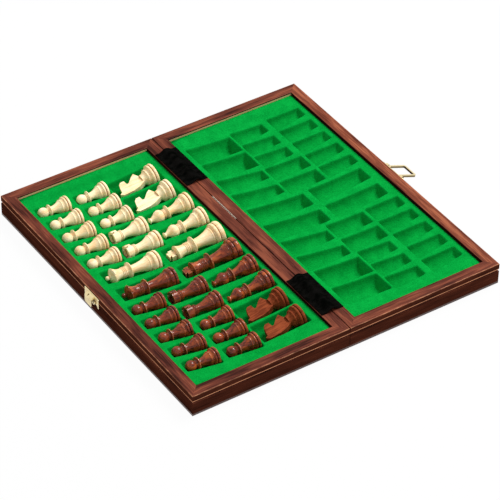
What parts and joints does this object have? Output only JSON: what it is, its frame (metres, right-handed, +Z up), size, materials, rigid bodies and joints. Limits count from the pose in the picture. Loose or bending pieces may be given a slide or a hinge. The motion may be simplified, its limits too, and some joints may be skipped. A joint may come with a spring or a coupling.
{
  "type": "folding chess box",
  "caption": "Wooden chess box of two hinged halves that fold into a case, with flocked trays holding the men and a brass loop clasp.",
  "frame": {"origin": "middle of the spine on the resting face, which is the playing board of the open box", "axes": "+X across the hinge towards the lid, +Y along the hinge, +Z up out of the open box"},
  "size_m": [0.3237, 0.3, 0.0261],
  "materials": {
    "case_wood": "dark reddish brown stain, satin lacquer, arrises worn lighter",
    "board_veneer": "playing board in two veneers, satin lacquer",
    "green_flock": "green flock on a thin formed sheet",
    "black_velvet": "black velvet strip",
    "hinge_brass": "plain stamped brass",
    "clasp_brass": "pale polished brass plate",
    "light_men_wood": "pale boxwood, satin",
    "dark_men_wood": "brown stain under gloss lacquer, rims worn lighter",
    "knight_wood": "brown stain, matte on the sawn faces"
  },
  "bodies": {
    "base": {"base_near_rail": "case_wood", "base_outer_rail": "case_wood", "base_far_rail": "case_wood", "base_spine_rail": "case_wood", "base_board_panel": "board_veneer", "base_tray": "green_flock", "base_hinge_leaves": "hinge_brass", "base_hinge_screws": "hinge_brass", "base_hinge_patches": "black_velvet", "hinge_pins": "hinge_brass", "keeper": "clasp_brass", "keeper_nails": "clasp_brass"},
    "lid": {"lid_near_rail": "case_wood", "lid_outer_rail": "case_wood", "lid_far_rail": "case_wood", "lid_spine_rail": "case_wood", "lid_board_panel": "board_veneer", "lid_tray": "green_flock", "lid_hinge_leaves": "hinge_brass", "lid_hinge_screws": "hinge_brass", "lid_hinge_patches": "black_velvet", "clasp_plate": "clasp_brass", "clasp_nails": "clasp_brass"},
    "loop": {"clasp_loop": "clasp_brass"},
    "light_knight_1": {"light_knight_1": "light_men_wood"},
    "light_knight_2": {"light_knight_2": "light_men_wood"},
    "light_bishop_1": {"light_bishop_1": "light_men_wood"},
    "light_bishop_2": {"light_bishop_2": "light_men_wood"},
    "light_king": {"light_king": "light_men_wood"},
    "light_pawn_1": {"light_pawn_1": "light_men_wood"},
    "light_pawn_2": {"light_pawn_2": "light_men_wood"},
    "light_pawn_3": {"light_pawn_3": "light_men_wood"},
    "light_rook_1": {"light_rook_1": "light_men_wood"},
    "light_rook_2": {"light_rook_2": "light_men_wood"},
    "light_pawn_4": {"light_pawn_4": "light_men_wood"},
    "light_pawn_5": {"light_pawn_5": "light_men_wood"},
    "light_pawn_6": {"light_pawn_6": "light_men_wood"},
    "light_pawn_7": {"light_pawn_7": "light_men_wood"},
    "light_pawn_8": {"light_pawn_8": "light_men_wood"},
    "light_queen": {"light_queen": "light_men_wood"},
    "dark_knight_1": {"dark_knight_1": "knight_wood"},
    "dark_knight_2": {"dark_knight_2": "knight_wood"},
    "dark_bishop_1": {"dark_bishop_1": "dark_men_wood"},
    "dark_bishop_2": {"dark_bishop_2": "dark_men_wood"},
    "dark_king": {"dark_king": "dark_men_wood"},
    "dark_pawn_1": {"dark_pawn_1": "dark_men_wood"},
    "dark_pawn_2": {"dark_pawn_2": "dark_men_wood"},
    "dark_pawn_3": {"dark_pawn_3": "dark_men_wood"},
    "dark_rook_1": {"dark_rook_1": "dark_men_wood"},
    "dark_rook_2": {"dark_rook_2": "dark_men_wood"},
    "dark_pawn_4": {"dark_pawn_4": "dark_men_wood"},
    "dark_pawn_5": {"dark_pawn_5": "dark_men_wood"},
    "dark_pawn_6": {"dark_pawn_6": "dark_men_wood"},
    "dark_pawn_7": {"dark_pawn_7": "dark_men_wood"},
    "dark_pawn_8": {"dark_pawn_8": "dark_men_wood"},
    "dark_queen": {"dark_queen": "dark_men_wood"}
  },
  "joints": [
    {"name": "box_fold", "type": "hinge", "parent": "base", "child": "lid", "pos_m": [0, 0, 0.0211], "axis": [0, 1, 0], "range_deg": [-180, 0]},
    {"name": "clasp_loop_swing", "type": "hinge", "parent": "lid", "child": "loop", "pos_m": [0.1521, 0.0004, 0.0175], "axis": [0, 1, 0], "range_deg": [-111.5, 42.5]},
    {"name": "lift_light_knight_1", "type": "slide", "parent": "base", "child": "light_knight_1", "axis": [0, 0, 1], "range_m": [0, 0.03]},
    {"name": "lift_light_knight_2", "type": "slide", "parent": "base", "child": "light_knight_2", "axis": [0, 0, 1], "range_m": [0, 0.03]},
    {"name": "lift_light_bishop_1", "type": "slide", "parent": "base", "child": "light_bishop_1", "axis": [0, 0, 1], "range_m": [0, 0.03]},
    {"name": "lift_light_bishop_2", "type": "slide", "parent": "base", "child": "light_bishop_2", "axis": [0, 0, 1], "range_m": [0, 0.03]},
    {"name": "lift_light_king", "type": "slide", "parent": "base", "child": "light_king", "axis": [0, 0, 1], "range_m": [0, 0.03]},
    {"name": "lift_light_pawn_1", "type": "slide", "parent": "base", "child": "light_pawn_1", "axis": [0, 0, 1], "range_m": [0, 0.03]},
    {"name": "lift_light_pawn_2", "type": "slide", "parent": "base", "child": "light_pawn_2", "axis": [0, 0, 1], "range_m": [0, 0.03]},
    {"name": "lift_light_pawn_3", "type": "slide", "parent": "base", "child": "light_pawn_3", "axis": [0, 0, 1], "range_m": [0, 0.03]},
    {"name": "lift_light_rook_1", "type": "slide", "parent": "base", "child": "light_rook_1", "axis": [0, 0, 1], "range_m": [0, 0.03]},
    {"name": "lift_light_rook_2", "type": "slide", "parent": "base", "child": "light_rook_2", "axis": [0, 0, 1], "range_m": [0, 0.03]},
    {"name": "lift_light_pawn_4", "type": "slide", "parent": "base", "child": "light_pawn_4", "axis": [0, 0, 1], "range_m": [0, 0.03]},
    {"name": "lift_light_pawn_5", "type": "slide", "parent": "base", "child": "light_pawn_5", "axis": [0, 0, 1], "range_m": [0, 0.03]},
    {"name": "lift_light_pawn_6", "type": "slide", "parent": "base", "child": "light_pawn_6", "axis": [0, 0, 1], "range_m": [0, 0.03]},
    {"name": "lift_light_pawn_7", "type": "slide", "parent": "base", "child": "light_pawn_7", "axis": [0, 0, 1], "range_m": [0, 0.03]},
    {"name": "lift_light_pawn_8", "type": "slide", "parent": "base", "child": "light_pawn_8", "axis": [0, 0, 1], "range_m": [0, 0.03]},
    {"name": "lift_light_queen", "type": "slide", "parent": "base", "child": "light_queen", "axis": [0, 0, 1], "range_m": [0, 0.03]},
    {"name": "lift_dark_knight_1", "type": "slide", "parent": "base", "child": "dark_knight_1", "axis": [0, 0, 1], "range_m": [0, 0.03]},
    {"name": "lift_dark_knight_2", "type": "slide", "parent": "base", "child": "dark_knight_2", "axis": [0, 0, 1], "range_m": [0, 0.03]},
    {"name": "lift_dark_bishop_1", "type": "slide", "parent": "base", "child": "dark_bishop_1", "axis": [0, 0, 1], "range_m": [0, 0.03]},
    {"name": "lift_dark_bishop_2", "type": "slide", "parent": "base", "child": "dark_bishop_2", "axis": [0, 0, 1], "range_m": [0, 0.03]},
    {"name": "lift_dark_king", "type": "slide", "parent": "base", "child": "dark_king", "axis": [0, 0, 1], "range_m": [0, 0.03]},
    {"name": "lift_dark_pawn_1", "type": "slide", "parent": "base", "child": "dark_pawn_1", "axis": [0, 0, 1], "range_m": [0, 0.03]},
    {"name": "lift_dark_pawn_2", "type": "slide", "parent": "base", "child": "dark_pawn_2", "axis": [0, 0, 1], "range_m": [0, 0.03]},
    {"name": "lift_dark_pawn_3", "type": "slide", "parent": "base", "child": "dark_pawn_3", "axis": [0, 0, 1], "range_m": [0, 0.03]},
    {"name": "lift_dark_rook_1", "type": "slide", "parent": "base", "child": "dark_rook_1", "axis": [0, 0, 1], "range_m": [0, 0.03]},
    {"name": "lift_dark_rook_2", "type": "slide", "parent": "base", "child": "dark_rook_2", "axis": [0, 0, 1], "range_m": [0, 0.03]},
    {"name": "lift_dark_pawn_4", "type": "slide", "parent": "base", "child": "dark_pawn_4", "axis": [0, 0, 1], "range_m": [0, 0.03]},
    {"name": "lift_dark_pawn_5", "type": "slide", "parent": "base", "child": "dark_pawn_5", "axis": [0, 0, 1], "range_m": [0, 0.03]},
    {"name": "lift_dark_pawn_6", "type": "slide", "parent": "base", "child": "dark_pawn_6", "axis": [0, 0, 1], "range_m": [0, 0.03]},
    {"name": "lift_dark_pawn_7", "type": "slide", "parent": "base", "child": "dark_pawn_7", "axis": [0, 0, 1], "range_m": [0, 0.03]},
    {"name": "lift_dark_pawn_8", "type": "slide", "parent": "base", "child": "dark_pawn_8", "axis": [0, 0, 1], "range_m": [0, 0.03]},
    {"name": "lift_dark_queen", "type": "slide", "parent": "base", "child": "dark_queen", "axis": [0, 0, 1], "range_m": [0, 0.03]}
  ]
}
